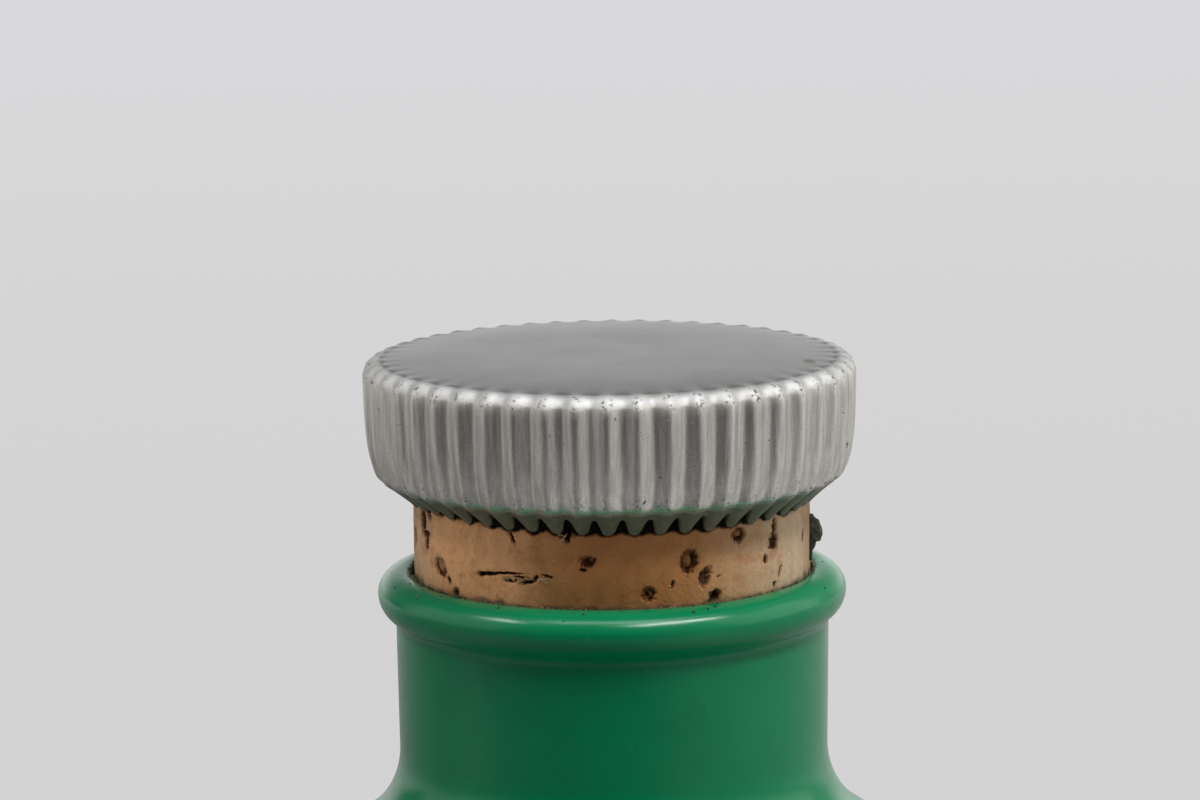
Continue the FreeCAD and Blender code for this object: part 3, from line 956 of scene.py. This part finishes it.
studio = {
    "floorColour": (0.52, 0.52, 0.52),
    "nearGrey": (0.660, 0.650, 0.648),
    "farGrey": (0.715, 0.715, 0.733),
    "evenShare": (0.55, 0.97),   # how much of the floor's look is its own even tone, near and far off
    # what metal and plastic see of the floor: in front, at the left, at the right, behind,
    # and added in a paler strip at the front left
    "mirrorFront": 0.14,
    "mirrorLeft": 0.20,
    "mirrorRight": 0.46,
    "mirrorBack": 0.70,
    "mirrorStrip": 0.15,
    "floorLevel": -0.00005,      # a hair under the base, so that the two never share one plane
    "floorFront": -0.25,
    "floorBack": 6.0,
    "floorSide": 5.0,
    # the room's level in front, added at the right, at the left, low behind, steeply below, and above
    "room": (0.036, 0.30, 0.10, 1.15, 0.28, 0.07),
    "lampAim": (0.0, 0.0, 0.18),
    # each lamp's place, width, height and radiance
    "lamps": {
        "overhead": ((0.0, -0.27, 1.38), 0.90, 0.30, 4.8),
        "highRight": ((0.45, -0.44, 1.24), 0.74, 0.15, 31.0),
        "highLeft": ((-0.73, -0.17, 1.19), 0.36, 0.17, 17.0),
        "rightWindow": ((1.1, 0.05, 0.70), 1.40, 1.00, 0.90),
        "leftWindow": ((-1.1, -0.05, 0.60), 1.40, 1.00, 0.60),
    },
}


def makeFloor():
    # one flat sheet behind, beside and just before the bottle; the eye sees mostly its even tone, with a
    # soft shadow, and mirrors see a tone that follows the side it lies on
    s = studio
    side, front, back = s["floorSide"], s["floorFront"], s["floorBack"]
    outline = ((-side, front), (side, front), (side, back), (-side, back))
    corners = np.array([(across, along, s["floorLevel"]) for across, along in outline])
    floor = listMesh("floor", corners / mm, [(0, 1, 2, 3)])
    finish, bench = newFinish("paleFloor")
    place = bench.stretched((1.0, 1.0, 1.0))
    x, y, z = bench.parts(place)
    grey = bench.blend(y.ease(0.3, 2.6), s["nearGrey"], s["farGrey"])
    own = bench.node("ShaderNodeEmission", None, {"Color": grey, "Strength": 1.0})
    inputs = {"Base Color": (*s["floorColour"], 1.0), "Roughness": 0.9}
    lit = bench.node("ShaderNodeBsdfPrincipled", None, inputs)
    behind = y.ease(0.1, 1.4)
    dim = (x * -1.0).ease(0.0, 0.25) * (s["mirrorLeft"] - s["mirrorFront"]) + s["mirrorFront"]
    dim = dim + x.ease(0.0, 0.2) * (s["mirrorRight"] - s["mirrorFront"])
    dim = dim + (x * -1.0).ease(0.10, 0.25) * (y * -1.0).ease(-0.05, 0.05) * s["mirrorStrip"]
    seen = dim + behind * (s["mirrorBack"] - dim)
    mirrored = bench.node("ShaderNodeEmission", None, {"Color": bench.tint((1.0, 1.0, 1.0), seen)})
    paths = bench.node("ShaderNodeLightPath", output=0)
    toMirror = bench.node("ShaderNodeLightPath", output=3)
    near, far = s["evenShare"]
    even = ((x * x + y * y) ** 0.5).ease(0.12, 0.6) * (far - near) + near
    mixed = bench.node("ShaderNodeMixShader", None, [toMirror, lit, mirrored])
    mixed = bench.node("ShaderNodeMixShader", None, [paths * even, mixed, own])
    bench.node("ShaderNodeOutputMaterial", None, [mixed])
    floor.data.materials.append(finish)


def makeSurroundings():
    # the eye sees an even pale grey; other rays see a soft room: paler behind and at the right, dim in front
    world = bpy.data.worlds.new("room")
    bpy.context.scene.world = world
    world.use_nodes = True
    bench = Bench(world.node_tree)
    direction = bench.node("ShaderNodeTexCoord", output=0)
    x, y, z = bench.parts(direction)
    front, atRight, atLeft, behind, below, above = studio["room"]
    right = x.ease(0.15, 0.8) * atRight
    left = (x * -1.0).ease(0.45, 1.0) * atLeft
    sweep = y.ease(0.72, 0.95) * (1.0 - z.ease(0.04, 0.4)) * behind
    mirrors = bench.node("ShaderNodeLightPath", output=3)
    under = (z * -1.0).ease(0.15, 0.6) * (mirrors * 0.75 + 0.25) * below
    level = right + left + sweep + front + under + z.ease(0.0, 0.35) * above
    room = bench.tint((1.0, 1.0, 1.0), level)
    toEye = bench.node("ShaderNodeLightPath", output=0)
    colour = bench.blend(toEye, room, studio["farGrey"])
    back = bench.node("ShaderNodeBackground", None, {"Color": colour, "Strength": 1.0})
    bench.node("ShaderNodeOutputWorld", None, [back])


def makeLamps():
    # an area lamp of radiance L and area A has the power pi L A
    aim = Vector(studio["lampAim"])
    for name, (place, wide, tall, radiance) in studio["lamps"].items():
        data = bpy.data.lights.new(name, "AREA")
        data.shape = "RECTANGLE"
        data.size = wide
        data.size_y = tall
        data.energy = math.pi * radiance * wide * tall
        lamp = bpy.data.objects.new(name, data)
        bpy.context.scene.collection.objects.link(lamp)
        lamp.location = place
        lamp.rotation_euler = (aim - Vector(place)).to_track_quat("-Z", "Y").to_euler()


makeFloor()
makeSurroundings()
makeLamps()
bpy.context.scene.view_settings.view_transform = "Standard"
print("studio lit")
